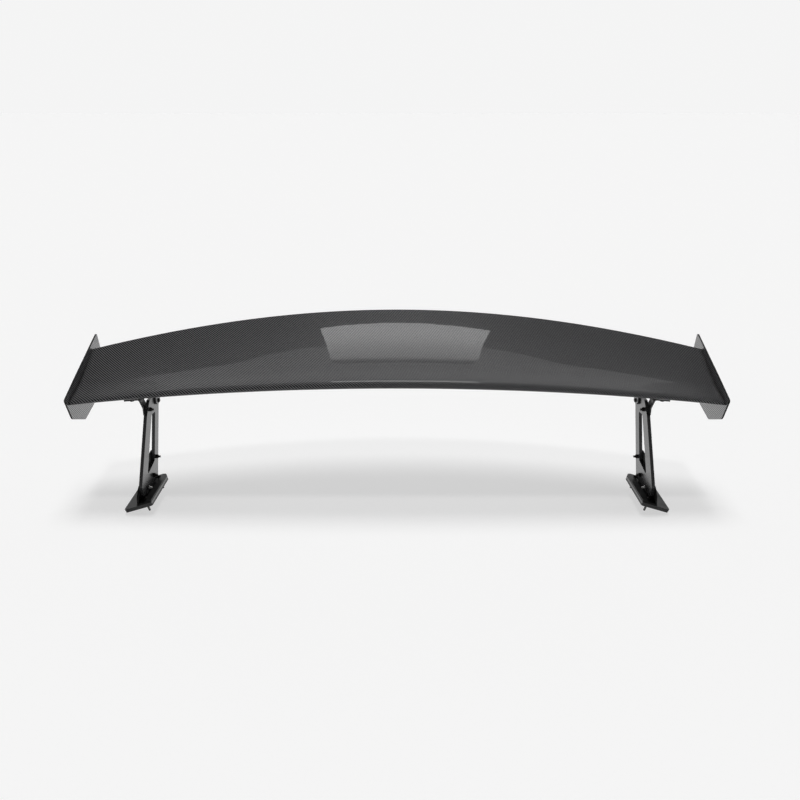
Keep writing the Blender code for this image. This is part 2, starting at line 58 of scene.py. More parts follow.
# ---- the model's driving dimensions -------------------------------------------------------
HALF_SPAN = CAD_BOX[1].x
SCREW_HEAD = 0.0015        # end plate screw heads, which stand proud of the plate
END_PLATE = 0.004
GAP = 0.0003               # left between touching pieces
WING_END = HALF_SPAN - SCREW_HEAD - END_PLATE - 2 * GAP

NOSE_TIP = (-0.1395, 0.2592)     # leading edge (y, z) at the wing's ends
NOSE_MID = (-0.1447, 0.3072)     # and at the centre line
TAIL_TIP = (0.0550, 0.3385)      # trailing edge (y, z)
TAIL_MID = (0.2176, 0.4030)
CAMBER = 0.075             # depth of the camber line, as a share of the chord
CAMBER_AT = 0.38           # where it is deepest
THICKNESS = 0.11
TAIL_HALF = 0.00165        # half the trailing edge's thickness
BOND = 0.00015             # half the glue line between the skins
SKIN = 0.0015
SPAN_STEPS = 160
CHORD_STEPS = 64
HALVINGS = 40              # steps of the search for a place on the lower surface

CANT = math.radians(2.5)   # the stands spread towards the ground
STAND_X = 0.614            # mid-plane of a stand plate at the pivot's height
STAND_Z = 0.237
STAND_PLATE = 0.008
LEG_CLEAR = 0.0008         # between a stand plate and the pieces that turn with the wing
PIVOT = (-0.106, 0.234)    # (y, z) of the wing's tilt axis
SLOT_RADIUS = 0.060        # pivot to the adjuster bolt
SLOT_REST = math.radians(2)
SLOT_DOWN = math.radians(-6.5)
SLOT_UP = math.radians(9.5)
BOLT_R = 0.003             # M6 fasteners
HOLE_R = 0.0034
SLOT_R = 0.0036
NUT_FLAT = 0.010           # across flats
NUT_BORE = 0.0031
NUT_HEX = 0.0042           # the nut's hexagon, below its locking collar
NUT_THICK = 0.0058
NUT_REACH = 0.005          # of its thickness, what the bolt's tail is counted from
HEAD_R = 0.0055
HEAD_H = 0.0035
SMALL_R = 0.002            # M4 screws
SMALL_HOLE = 0.0023
SMALL_HEAD = 0.0045
END_SCREW = 0.0165         # length of the end plate screws
PITCH_M6 = 0.001
PITCH_M4 = 0.0007
TURNS_STEPS = 8            # rings in each turn of a thread
DOME_STEPS = 9             # rings in a bolt head's dome
BOLT_TAIL = 0.005          # how far a bolt stands out of its nut
FOOT_TAIL = 0.006
TIP = 0.3                  # chamfer of a bolt's tip, as a share of its radius
NUT_RUN = 0.0005           # thread inside the hole, next to the nut
SCREW_SHANK = 0.002        # plain length under a screw's head
BASE_SHANK = 0.010
DRILL_SPARE = 0.001        # what a drill passes a piece's face by
CUT_REACH = 0.02           # half length of the drill through a stay

BASE_CENTRE = (0.630, -0.139, 0.025)   # top of the base plate, in its middle
BASE_ROLL = math.radians(17)
BASE_SIZE = (0.071, 0.158)
BASE_PLATE = 0.005
PAD = 0.004
PAD_INSET = 0.0005
BRACKET = 0.004            # thickness of the foot bracket and the wing bracket
FOOT_BOLTS = ((-0.080, 0.0947), (-0.1119, 0.0577), (-0.165, 0.049))
BASE_BOLT_X = 0.0127       # inboard of the base's middle
BASE_BOLTS_Y = (-0.055, 0.067)
BASE_REACH = 0.0018        # the foot bracket's outer edge, outboard of the base's middle

STAND_OUTLINE = (
    (-0.131, 0.226), (-0.2069, 0.070), (-0.199, 0.040), (-0.170, 0.0345), (-0.0764, 0.0345),
    (-0.0213, 0.256), (-0.103, 0.256))
STAND_RADII = (0.010, 0.008, 0.010, 0.008, 0.006, 0.006, 0.008)
STAND_WINDOW = ((-0.094, 0.215), (-0.1586, 0.0788), (-0.0943, 0.0900), (-0.064, 0.212))
WINDOW_RADII = (0.005, 0.006, 0.006, 0.005)
FOOT_FLANGE = (
    (-0.216, 0.0278), (-0.216, 0.0465), (-0.1999, 0.0664), (-0.1402, 0.071),
    (-0.1264, 0.1031), (-0.0864, 0.1124), (-0.068, 0.109), (-0.082, 0.0278))
FLANGE_RADII = (0.002, 0.012, 0.010, 0.008, 0.010, 0.008, 0.006, 0.004)
BASE_RADII = (0.005, 0.005, 0.016, 0.016)
LEG_END_RADII = (0.005, 0.002, 0.002, 0.016)
BRACKET_LEG = (
    (-0.066, 0.238), (-0.055, 0.2275), (-0.038, 0.2275), (-0.031, 0.236), (-0.031, 0.280),
    (-0.066, 0.280))
LEG_RADII = (0.008, 0.007, 0.006, 0.004, 0.001, 0.001)
BRACKET_Y = (-0.063, -0.033)
BRACKET_X = (0.568, 0.6085)
BRACKET_CORNER = 0.002
BRACKET_SCREWS = ((0.579, -0.048), (0.597, -0.048))
SCREW_BITE = 0.010         # how far a bracket screw reaches past the skin
SEAT_GAP = 0.0004          # between the wing and what is screwed under it
SEAT_STEPS = 6
STAY_Y = (-0.123, -0.097)
STAY_X = 0.6655
STAY_STRAP = 0.0035
STAY_FOOT = 0.0125         # below the pivot's height
STAY_KNEE = 0.006          # above it, where the strap leans outboard
STAY_LEAN = 0.0075
STAY_BEND = 0.0006         # the outside of a bend is this much longer
STAY_RADII = (0.0004, 0.0004, 0.006, 0.004, 0.0004, 0.0004, 0.0075, 0.0095)
STAY_STEPS = 8
STAY_SCREW = (0.650, -0.110)
RIB_SCREWS = (0.18, 0.40, 0.62)

END_OUTLINE = (
    (-0.154, 0.2714), (-0.1279, 0.2159), (-0.0525, 0.1855), (0.021, 0.2037),
    (0.108, 0.3294), (0.097, 0.3704), (-0.078, 0.3050), (-0.1524, 0.2758))
END_RADII = (0.003, 0.020, 0.018, 0.030, 0.006, 0.004, 0.100, 0.002)

ARC_STEPS = 14             # facets in a rounded corner
ROUND = 48                 # facets round a hole or a turned piece
STRAP_EDGE = 0.0005        # how far each kind of piece has its edges rounded off
FOLD_EDGE = 0.0004
STAND_EDGE = 0.0006
PLATE_EDGE = 0.0007
PAD_EDGE = 0.0009
EDGE_STEPS = 3
RIM_TURN = math.radians(60)     # edges that turn more than this are rounded off
METAL_TURN = math.radians(45)   # and those that stay sharp in the shading
BOLT_TURN = math.radians(38)
WELD = 0.000005
NUT_WELD = 0.000001
TOW = 0.0018               # width of one tow of the carbon cloth
WARP_TONE = 0.002
# painted sheen: how bright the weft tows are drawn, standing in for the fibres' highlight
WEFT_PAINTED_SHEEN = 0.42
CLOTH_METAL = 0.25

CAMERA_PLACE = (0.0, -1.946, 0.950)
CAMERA_DOWN = math.radians(20.6)
CAMERA_LENS = 36.0         # mm, as the sensor's width
CAMERA_SENSOR = 36.0
CAMERA_SHIFT = 0.00375
CAMERA_FAR = 500
BACKGROUND = 0.908
CEILING = 0.06             # tone of the studio's ceiling, and of what is below the object
CEILING_FROM = (0.30, 0.60)     # heights of view at which the wall gives way to it
UNDER_FROM = (-0.80, -0.50)
FRONT = 0.25               # tone of the studio in front, and the depths of view it fades over
FRONT_FROM = (-0.25, 0.05)
FLOOR_HALF = 60.0
FLOOR_TONE = 0.50
FLOOR_GRAIN = 0.001
FLOOR_GLOW = 0.555         # what the shadow never takes away
SUNS = (                   # name, strength, tilt to the front and spread in degrees
    ("overhead_light", 0.44, -5.3, 7.0),
    ("rear_light", 1.42, 19.8, 21.2))
SOFTBOXES = (              # place, size and power of each
    ((0.055, 2.305, 2.6), (1.12, 0.95), 6.9),
    ((0.055, 3.10, 2.6), (4.20, 1.90), 6.5))
SOFTBOX_FADE = (0.05, 0.85)     # shares of its depth between which a softbox fades out

SIDES = (("left", 1), ("right", -1))


# ---- materials ----------------------------------------------------------------------------
class Nodes:
    """A new material's node tree, with short calls for the nodes that the looks need."""

    def __init__(self, name):
        self.material = bpy.data.materials.new(name)
        self.material.use_nodes = True
        self.tree = self.material.node_tree
        self.shader = self.tree.nodes["Principled BSDF"]

    def feed(self, socket, value):
        """Link an output to a socket, or set the socket to a plain value."""
        if isinstance(value, bpy.types.NodeSocket):
            self.tree.links.new(value, socket)
        else:
            socket.default_value = value

    def math(self, operation, *values):
        node = self.tree.nodes.new("ShaderNodeMath")
        node.operation = operation
        for socket, value in zip(node.inputs, values):
            self.feed(socket, value)
        return node.outputs[0]

    def vector(self, operation, *values):
        node = self.tree.nodes.new("ShaderNodeVectorMath")
        node.operation = operation
        for socket, value in zip(node.inputs, values):
            self.feed(socket, value)
        return node.outputs[0]

    def split(self, vector):
        node = self.tree.nodes.new("ShaderNodeSeparateXYZ")
        self.feed(node.inputs[0], vector)
        return node.outputs

    def join(self, x, y, z=0.0):
        """A vector or colour from its parts."""
        node = self.tree.nodes.new("ShaderNodeCombineXYZ")
        for socket, value in zip(node.inputs, (x, y, z)):
            self.feed(socket, value)
        return node.outputs[0]

    def mix(self, share, low, high):
        """A blend of two numbers or two colours."""
        node = self.tree.nodes.new("ShaderNodeMix")
        node.data_type = "RGBA" if isinstance(low, tuple) else "FLOAT"
        group = {"RGBA": (0, 6, 7, 2), "FLOAT": (0, 2, 3, 0)}[node.data_type]
        self.feed(node.inputs[group[0]], share)
        self.feed(node.inputs[group[1]], low)
        self.feed(node.inputs[group[2]], high)
        return node.outputs[group[3]]

    def ramp(self, value, low, high):
        """A smooth step from 0 to 1 between two values."""
        node = self.tree.nodes.new("ShaderNodeMapRange")
        node.interpolation_type = "SMOOTHSTEP"
        self.feed(node.inputs["Value"], value)
        node.inputs["From Min"].default_value = low
        node.inputs["From Max"].default_value = high
        return node.outputs["Result"]

    def noise(self, scale, detail=3.0, where=None, stretch=(1.0, 1.0, 1.0)):
        node = self.tree.nodes.new("ShaderNodeTexNoise")
        node.inputs["Scale"].default_value = scale
        node.inputs["Detail"].default_value = detail
        place = where if where is not None else self.place()
        self.feed(node.inputs["Vector"], self.vector("MULTIPLY", place, stretch))
        return node.outputs[0]

    def place(self):
        """The point's own place on the object, in metres."""
        return self.tree.nodes.new("ShaderNodeTexCoord").outputs["Object"]

    def bump(self, height, distance, strength=1.0, under=None):
        node = self.tree.nodes.new("ShaderNodeBump")
        node.inputs["Distance"].default_value = distance
        node.inputs["Strength"].default_value = strength
        self.feed(node.inputs["Height"], height)
        if under is not None:
            self.feed(node.inputs["Normal"], under)
        return node.outputs[0]

    def set(self, **values):
        """Feed the shader's sockets, with _ for each space in a socket's name."""
        for name, value in values.items():
            self.feed(self.shader.inputs[name.replace("_", " ")], value)


def carbon_material(name, coat):
    """Clear-coated 2x2 twill: the tows' over and under runs drawn in the weave coordinates, with a
    painted sheen on the weft tows.
    """
    n = Nodes(name)
    uv = n.tree.nodes.new("ShaderNodeUVMap")
    uv.uv_map = "weave"
    cloth = n.vector("SCALE", uv.outputs[0])
    cloth.node.inputs["Scale"].default_value = 1 / TOW
    wander = n.noise(9.0, 2.0, uv.outputs[0])
    u, v, _ = n.split(cloth)
    u = n.math("ADD", u, n.math("MULTIPLY", n.math("SUBTRACT", wander, 0.5), 0.9))
    v = n.math("ADD", v, n.math("MULTIPLY", n.math("SUBTRACT", wander, 0.5), -0.7))
    column = n.math("FLOOR", u)
    row = n.math("FLOOR", v)
    over = n.math("FLOORED_MODULO", n.math("ADD", column, row), 4.0)
    warp_on_top = n.math("LESS_THAN", over, 1.5)
    warp_run = n.math("DIVIDE", n.math("FLOORED_MODULO", n.math("ADD", column, v), 4.0), 2.0)
    weft_run = n.math("DIVIDE", n.math("FLOORED_MODULO", n.math("ADD", u, row), 4.0), 2.0)
    weft_run = n.math("SUBTRACT", weft_run, 1.0)

    def crest(run, across):
        """Height of a tow: an arch along its run, with rounded shoulders across it."""
        along = n.math("SINE", n.math("MULTIPLY", run, math.pi))
        side = n.math("SINE", n.math("MULTIPLY", n.math("FRACT", across), math.pi))
        side = n.math("POWER", n.math("MAXIMUM", side, 0.0001), 0.35)
        return n.math("MULTIPLY", n.math("ADD", n.math("MULTIPLY", along, 0.6), 0.4), side)

    height = n.mix(warp_on_top, crest(weft_run, v), crest(warp_run, u))
    fine = n.noise(1.0, 2.0, cloth)
    strand_u = n.noise(1.0, 1.0, n.join(n.math("MULTIPLY", u, 9.0), n.math("MULTIPLY", v, 0.4)))
    strand_v = n.noise(1.0, 1.0, n.join(n.math("MULTIPLY", u, 0.4), n.math("MULTIPLY", v, 9.0)))
    strands = n.mix(warp_on_top, strand_v, strand_u)
    # Painted sheen: the weft tows are drawn bright and the warp tows black, in place of the fibres'
    # highlight.
    tone = n.mix(warp_on_top, WEFT_PAINTED_SHEEN, WARP_TONE)
    tone = n.math("MULTIPLY", tone, n.mix(strands, 0.55, 1.45))
    # Painted highlight: the sheen is gathered onto each tow's crown.
    tone = n.math("MULTIPLY", tone, n.math("POWER", n.math("MAXIMUM", height, 0.0), 2.0))
    tone = n.math("MULTIPLY", tone, n.mix(fine, 0.85, 1.15))
    colour = n.join(tone, tone, n.math("MULTIPLY", tone, 1.03))
    n.set(Base_Color=colour, Metallic=CLOTH_METAL, Roughness=n.mix(strands, 0.28, 0.42),
          Coat_Weight=coat, Coat_Roughness=0.02, Coat_IOR=1.5,
          Normal=n.bump(height, 0.00012, 0.9))
    peel = n.bump(n.noise(55.0, 2.0), 0.00010, 0.25)
    n.feed(n.shader.inputs["Coat Normal"], peel)
    return n.material


def resin_edge_material():
    """The cut and lacquered edge of a carbon sheet, with its plies just showing."""
    n = Nodes("carbon_edge")
    plies = n.noise(1.0, 1.0, None, (2600.0, 40.0, 40.0))
    tone = n.mix(plies, 0.008, 0.026)
    n.set(Base_Color=n.join(tone, tone, tone), Roughness=n.mix(n.noise(160.0), 0.22, 0.40),
          Coat_Weight=0.6, Coat_Roughness=0.08,
          Normal=n.bump(plies, 0.00003, 0.4))
    return n.material


def bare_laminate_material():
    """The unpainted inner side of the skins and the pieces inside the wing."""
    n = Nodes("bare_laminate")
    cloth = n.noise(420.0, 2.0)
    tone = n.mix(cloth, 0.020, 0.075)
    n.set(Base_Color=n.join(tone, tone, tone), Roughness=n.mix(n.noise(90.0), 0.55, 0.8),
          Normal=n.bump(cloth, 0.0002, 0.5))
    return n.material


def core_material():
    """Foam core under a thin laminate."""
    n = Nodes("foam_core")
    cells = n.noise(900.0, 3.0)
    colour = n.mix(n.noise(30.0), (0.30, 0.26, 0.17, 1.0), (0.40, 0.35, 0.24, 1.0))
    n.set(Base_Color=colour, Roughness=n.mix(cells, 0.75, 0.92), Normal=n.bump(cells, 0.0002, 0.6))
    return n.material


def anodised_material():
    """Black anodised sheet: a satin surface with a fine blasted grain and rubbed edges."""
    n = Nodes("black_anodised")
    grain = n.noise(2600.0, 3.0)
    cloud = n.noise(24.0, 4.0)
    scuffs = n.ramp(n.noise(1.0, 4.0, None, (900.0, 60.0, 240.0)), 0.62, 0.80)
    tone = n.mix(cloud, 0.012, 0.020)
    tone = n.mix(scuffs, tone, 0.032)
    n.set(Base_Color=n.join(tone, tone, n.math("MULTIPLY", tone, 1.06)),
          IOR=1.9, Roughness=n.mix(cloud, 0.22, 0.32),
          Normal=n.bump(grain, 0.00004, 0.35))
    return n.material


def powder_material():
    """Matt black powder coat, with its fine orange peel and a little dust."""
    n = Nodes("black_powder_coat")
    peel = n.noise(1400.0, 2.0)
    dust = n.ramp(n.noise(45.0, 5.0), 0.50, 0.85)
    tone = n.mix(dust, 0.007, 0.014)
    n.set(Base_Color=n.join(tone, tone, tone), Roughness=n.mix(dust, 0.42, 0.58),
          Specular_IOR_Level=0.22, Normal=n.bump(peel, 0.00006, 0.5))
    return n.material


def alloy_material():
    """Machined bare alloy."""
    n = Nodes("machined_alloy")
    lines = n.noise(1.0, 2.0, None, (60.0, 2400.0, 60.0))
    tone = n.mix(lines, 0.42, 0.60)
    n.set(Base_Color=n.join(tone, tone, tone), Metallic=1.0,
          Roughness=n.mix(lines, 0.25, 0.42), Normal=n.bump(lines, 0.00005, 0.4))
    return n.material


def steel_material():
    """Bright stainless steel, with turning marks and faint water staining."""
    n = Nodes("stainless_steel")
    marks = n.noise(1.0, 2.0, None, (700.0, 700.0, 3200.0))
    stain = n.noise(240.0, 3.0)
    tone = n.mix(stain, 0.50, 0.68)
    n.set(Base_Color=n.join(tone, tone, n.math("MULTIPLY", tone, 0.985)), Metallic=1.0,
          Roughness=n.mix(stain, 0.16, 0.30), Normal=n.bump(marks, 0.00003, 0.4))
    return n.material


def black_steel_material():
    """Black oxide steel, slightly oily, browner where it has been handled."""
    n = Nodes("black_oxide_steel")
    marks = n.noise(1.0, 2.0, None, (700.0, 700.0, 3200.0))
    cloud = n.noise(300.0, 3.0)
    colour = n.mix(cloud, (0.016, 0.016, 0.017, 1.0), (0.045, 0.041, 0.038, 1.0))
    n.set(Base_Color=colour, Metallic=0.75, Roughness=n.mix(cloud, 0.24, 0.40),
          Normal=n.bump(marks, 0.00003, 0.4))
    return n.material


def nylon_material():
    """The locking ring of a nut."""
    n = Nodes("locking_nylon")
    cloud = n.noise(500.0, 2.0)
    colour = n.mix(cloud, (0.10, 0.11, 0.13, 1.0), (0.16, 0.17, 0.20, 1.0))
    n.set(Base_Color=colour, Roughness=n.mix(cloud, 0.4, 0.55))
    return n.material


def rubber_material():
    """Moulded pad rubber: matt, with a fine pebbled grain and dust in it."""
    n = Nodes("pad_rubber")
    pebble = n.noise(1500.0, 2.0)
    dust = n.ramp(n.noise(60.0, 5.0), 0.50, 0.80)
    tone = n.mix(dust, 0.045, 0.090)
    n.set(Base_Color=n.join(tone, tone, tone), Roughness=n.mix(dust, 0.62, 0.85),
          Normal=n.bump(pebble, 0.00008, 0.6))
    return n.material


def floor_material():
    """Plain pale floor, see-through from underneath."""
    n = Nodes("studio_floor")
    tone = n.mix(n.noise(0.6, 2.0), FLOOR_TONE - FLOOR_GRAIN, FLOOR_TONE + FLOOR_GRAIN)
    n.set(Base_Color=n.join(tone, tone, tone), Roughness=1.0, Specular_IOR_Level=0.0,
          Emission_Color=(1.0, 1.0, 1.0, 1.0), Emission_Strength=FLOOR_GLOW)
    facing = n.tree.nodes.new("ShaderNodeNewGeometry").outputs["Backfacing"]
    clear = n.tree.nodes.new("ShaderNodeBsdfTransparent")
    both = n.tree.nodes.new("ShaderNodeMixShader")
    for socket, value in zip(both.inputs, (facing, n.shader.outputs[0], clear.outputs[0])):
        n.feed(socket, value)
    n.feed(n.tree.nodes["Material Output"].inputs["Surface"], both.outputs[0])
    return n.material


CARBON = carbon_material("carbon_twill", 1.0)
PLATE_CARBON = carbon_material("carbon_twill_plate", 0.75)
CARBON_EDGE = resin_edge_material()
BARE = bare_laminate_material()
CORE = core_material()
ANODISED = anodised_material()
POWDER = powder_material()
ALLOY = alloy_material()
STEEL = steel_material()
BLACK_STEEL = black_steel_material()
NYLON = nylon_material()
RUBBER = rubber_material()


# ---- mesh helpers -------------------------------------------------------------------------
def shift(x, y, z):
    return Matrix.Translation((x, y, z))


TO_SIDE = Matrix(((0, 0, 1, 0), (1, 0, 0, 0), (0, 1, 0, 0), (0, 0, 0, 1)))   # flat (x, y) to (y, z)


def rectangle(size):
    """The corners of a rectangle round the origin."""
    x, y = (length / 2 for length in size)
    return [(-x, -y), (x, -y), (x, y), (-x, y)]


def rounded(points, radii, steps=ARC_STEPS):
    """A closed outline with each corner replaced by an arc."""
    outline = []
    for index, corner in enumerate(points):
        here = Vector(corner)
        before = (Vector(points[index - 1]) - here).normalized()
        after = (Vector(points[(index + 1) % len(points)]) - here).normalized()
        half = before.angle(after) / 2
        middle = (before + after).normalized()
        centre = here + middle * radii[index] / math.sin(half)
        start = here + before * radii[index] / math.tan(half) - centre
        end = here + after * radii[index] / math.tan(half) - centre
        turn = start.angle_signed(end)
        for step in range(steps + 1):
            arm = start.copy()
            arm.rotate(Matrix.Rotation(-turn * step / steps, 2))
            outline.append(tuple(centre + arm))
    return outline


def circle(centre, radius, count=ROUND):
    angles = [2 * math.pi * index / count for index in range(count)]
    return [(centre[0] + radius * math.cos(a), centre[1] + radius * math.sin(a)) for a in angles]


def arc_slot(centre, radius, low, high, half_width, steps=ARC_STEPS):
    """The outline of a curved slot with round ends."""
    def on_arc(distance, angle):
        return (centre[0] + distance * math.cos(angle), centre[1] + distance * math.sin(angle))

    def end(angle, start):
        x, y = on_arc(radius, angle)
        turns = [start + math.pi * step / steps for step in range(1, steps)]
        return [(x + half_width * math.cos(a), y + half_width * math.sin(a)) for a in turns]

    angles = [low + (high - low) * step / steps for step in range(steps + 1)]
    outer = [on_arc(radius + half_width, a) for a in angles]
    inner = [on_arc(radius - half_width, a) for a in reversed(angles)]
    return outer + end(high, high) + inner + end(low, low + math.pi)


def mesh_from(name, work):
    bmesh.ops.recalc_face_normals(work, faces=work.faces)
    mesh = bpy.data.meshes.new(name)
    work.to_mesh(mesh)
    work.free()
    return mesh


def flat_mesh(name, loops, thickness, edge):
    """A flat piece from closed outlines, holes after the first, its sharp edges rounded off."""
    curve = bpy.data.curves.new(name, "CURVE")
    curve.dimensions = "2D"
    curve.fill_mode = "BOTH"
    curve.extrude = thickness / 2
    for loop in loops:
        spline = curve.splines.new("POLY")
        spline.points.add(len(loop) - 1)
        for point, (x, y) in zip(spline.points, loop):
            point.co = (x, y, 0, 1)
        spline.use_cyclic_u = True
    holder = bpy.data.objects.new(name + "_outline", curve)
    bpy.context.scene.collection.objects.link(holder)
    graph = bpy.context.evaluated_depsgraph_get()
    mesh = bpy.data.meshes.new_from_object(holder.evaluated_get(graph))
    bpy.data.objects.remove(holder, do_unlink=True)
    round_edges(mesh, edge)
    return mesh


def round_edges(mesh, edge):
    """Weld a mesh and round its sharp edges off."""
    work = bmesh.new()
    work.from_mesh(mesh)
    bmesh.ops.remove_doubles(work, verts=work.verts, dist=WELD)
    bmesh.ops.recalc_face_normals(work, faces=work.faces)
    rims = [e for e in work.edges if e.is_manifold and e.calc_face_angle() > RIM_TURN]
    bmesh.ops.bevel(work, geom=rims, offset=edge, segments=EDGE_STEPS, profile=0.5,
                    affect="EDGES", clamp_overlap=True)
    for face in work.faces:
        face.smooth = True
    work.to_mesh(mesh)
    work.free()


def add_piece(name, mesh, material, body, replaced, matrix=None):
    """Put a mesh in the scene as a piece that rides on a body and stands for a CAD node."""
    obj = bpy.data.objects.new(name, mesh)
    bpy.context.scene.collection.objects.link(obj)
    finishes = [face.material_index for face in mesh.polygons]
    mesh.materials.clear()
    for one in material if isinstance(material, tuple) else (material,):
        mesh.materials.append(one)
    mesh.polygons.foreach_set("material_index", finishes)
    if matrix is not None:
        obj.matrix_world = matrix
    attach(obj, body)
    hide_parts(replaced)
    return obj


def weighted_normals(obj):
    modifier = obj.modifiers.new("normals", "WEIGHTED_NORMAL")
    modifier.keep_sharp = True
    modifier.weight = 100


def finish_metal(obj):
    """Smooth shading with sharp folds and flat faces."""
    for polygon in obj.data.polygons:
        polygon.use_smooth = True
    obj.data.set_sharp_from_angle(angle=METAL_TURN)
    weighted_normals(obj)


def boolean(obj, tool, operation):
    modifier = obj.modifiers.new(tool.name, "BOOLEAN")
    modifier.operation = operation
    modifier.object = tool
    modifier.solver = "EXACT"


def union_mesh(name, pieces):
    """One mesh from placed meshes (mesh, matrix) that run into each other."""
    objects = []
    for index, (mesh, matrix) in enumerate(pieces):
        obj = bpy.data.objects.new(f"{name}_{index}", mesh)
        bpy.context.scene.collection.objects.link(obj)
        obj.matrix_world = matrix
        objects.append(obj)
    for tool in objects[1:]:
        boolean(objects[0], tool, "UNION")
    graph = bpy.context.evaluated_depsgraph_get()
    mesh = bpy.data.meshes.new_from_object(objects[0].evaluated_get(graph))
    mesh.transform(objects[0].matrix_world)
    for obj in objects:
        bpy.data.objects.remove(obj, do_unlink=True)
    return mesh


def ring_mesh(name, rings, close_ends=True):
    """A closed solid through rings of the same number of points."""
    work = bmesh.new()
    rows = [[work.verts.new(point) for point in ring] for ring in rings]
    for low, high in zip(rows, rows[1:]):
        for index in range(len(low)):
            after = (index + 1) % len(low)
            face = work.faces.new((low[index], low[after], high[after], high[index]))
            face.smooth = True
    if close_ends:
        work.faces.new(rows[0])
        work.faces.new(rows[-1])
    return mesh_from(name, work)


# ---- fasteners ----------------------------------------------------------------------------
def around(radius, height, count=ROUND):
    """A ring of points; radius and height may be functions of the angle."""
    points = []
    for index in range(count):
        a = 2 * math.pi * index / count
        r = radius(a) if callable(radius) else radius
        z = height(a) if callable(height) else height
        points.append((r * math.cos(a), r * math.sin(a), z))
    return points


def hexagon_radius(apothem, turn=0.0):
    """The radius of a hexagon as a function of the angle."""
    sixth = math.pi / 3
    return lambda a: apothem / math.cos((a + turn) % sixth - sixth / 2)


def thread_rings(radius, pitch, start, end):
    """Rings of a real helical thread down from start to end, fading out at its tip."""
    depth = pitch * 0.54
    steps = max(TURNS_STEPS, round((start - end) / pitch * TURNS_STEPS))
    rings = []
    for step in range(steps + 1):
        z = start + (end - start) * step / steps

        def crest(a, z=z):
            wave = (z / pitch + a / (2 * math.pi)) % 1
            cut = depth * (1 - abs(2 * wave - 1)) ** 0.8
            tip = max(0.0, (pitch - (z - end)) / pitch)
            runout = max(0.0, 1 - (start - z) / pitch)
            return radius - max(cut * (1 - runout), radius * 0.32 * tip)
        rings.append(around(crest, z))
    return rings


def bolt_mesh(name, radius, length, head_r, head_h, pitch, shank):
    """A button-head bolt with a hexagon socket: plain shank, then thread to the tip."""
    socket = hexagon_radius(head_r * 0.36)
    floor = head_h * 0.30
    rings = [around(0.00001, floor - head_h * 0.10), around(socket, floor),
             around(socket, head_h * 0.93),
             around(lambda a: socket(a) * 1.06, head_h * 0.985), around(head_r * 0.46, head_h)]
    for step in range(1, DOME_STEPS + 1):
        a = math.pi / 2 * step / DOME_STEPS
        out = head_r * (0.46 + 0.54 * math.sin(a))
        rings.append(around(out, head_h * (0.22 + 0.78 * math.cos(a) ** 0.8)))
    rings += [around(head_r, head_h * 0.06), around(head_r * 0.97, 0.0),
              around(radius * 1.12, 0.0), around(radius, -radius * 0.12),
              around(radius, -shank)]
    rings += thread_rings(radius, pitch, -shank - 0.0001, -length)
    return ring_mesh(name, rings)


def nut_mesh(name, across, bore, thick, hex_thick):
    """A locking nut: a chamfered hexagon and a round collar that holds a nylon ring."""
    flat = across / 2
    hexagon = hexagon_radius(flat)
    chamfer = math.tan(math.radians(30))
    rings = [around(bore * 1.12, 0.0), around(flat * 0.96, 0.0),
             around(lambda a: min(hexagon(a), flat * 1.02), 0.0002),
             around(hexagon, lambda a: 0.0002 + (hexagon(a) - flat) * chamfer),
             around(hexagon, lambda a: hex_thick - (hexagon(a) - flat) * chamfer * 0.7),
             around(flat * 0.94, hex_thick), around(flat * 0.86, hex_thick + 0.0001),
             around(flat * 0.85, thick - 0.0005), around(flat * 0.80, thick - 0.0001),
             around(flat * 0.74, thick), around(flat * 0.70, thick - 0.0003),
             around(bore * 1.04, thick - 0.0004), around(bore, thick - 0.0007),
             around(bore, 0.0003)]
    mesh = ring_mesh(name, rings + [rings[0]], close_ends=False)
    work = bmesh.new()
    work.from_mesh(mesh)
    bmesh.ops.remove_doubles(work, verts=work.verts, dist=NUT_WELD)
    bmesh.ops.recalc_face_normals(work, faces=work.faces)
    for face in work.faces:
        middle = face.calc_center_median()
        reach = math.hypot(middle.x, middle.y)
        if reach < flat * 0.72 and middle.z > thick - 0.0009:
            face.material_index = 1
    work.to_mesh(mesh)
    work.free()
    return mesh


def add_bolt(name, body, matrix, length, shank, material, size="M6", head_finish=None, turned=False):
    """A bolt or screw that stands for its node; its mesh is turned in place where turned is set."""
    radius, head_r, head_h, pitch = {
        "M6": (BOLT_R, HEAD_R, HEAD_H, PITCH_M6),
        "M4": (SMALL_R, SMALL_HEAD, SCREW_HEAD, PITCH_M4)}[size]
    mesh = bolt_mesh(name, radius, length, head_r, head_h, pitch, shank)
    for face in mesh.polygons:
        face.material_index = int(head_finish is not None and face.center.z > 0)
    finishes = (material, head_finish) if head_finish else material
    if turned:
        mesh.transform(matrix)
        matrix = None
    add_piece(name + "_look", mesh, finishes, body, name, matrix)
    mesh.set_sharp_from_angle(angle=BOLT_TURN)


def add_nut(name, body, matrix, material):
    mesh = nut_mesh(name, NUT_FLAT, NUT_BORE, NUT_THICK, NUT_HEX)
    add_piece(name + "_look", mesh, (material, NYLON), body, name, matrix)
    mesh.set_sharp_from_angle(angle=BOLT_TURN)


# ---- the wing's shape ---------------------------------------------------------------------
def camber(x):
    """Height of the camber line at a share of the chord, on a chord of 1."""
    if x < CAMBER_AT:
        return -CAMBER / CAMBER_AT ** 2 * (2 * CAMBER_AT * x - x * x)
    return -CAMBER / (1 - CAMBER_AT) ** 2 * (1 - 2 * CAMBER_AT + 2 * CAMBER_AT * x - x * x)


def half_thickness(x):
    """Half the thickness there, by the four-digit aerofoil formula with a closed tail."""
    return 5 * THICKNESS * (0.2969 * math.sqrt(x) - 0.126 * x - 0.3516 * x ** 2
                            + 0.2843 * x ** 3 - 0.1036 * x ** 4)


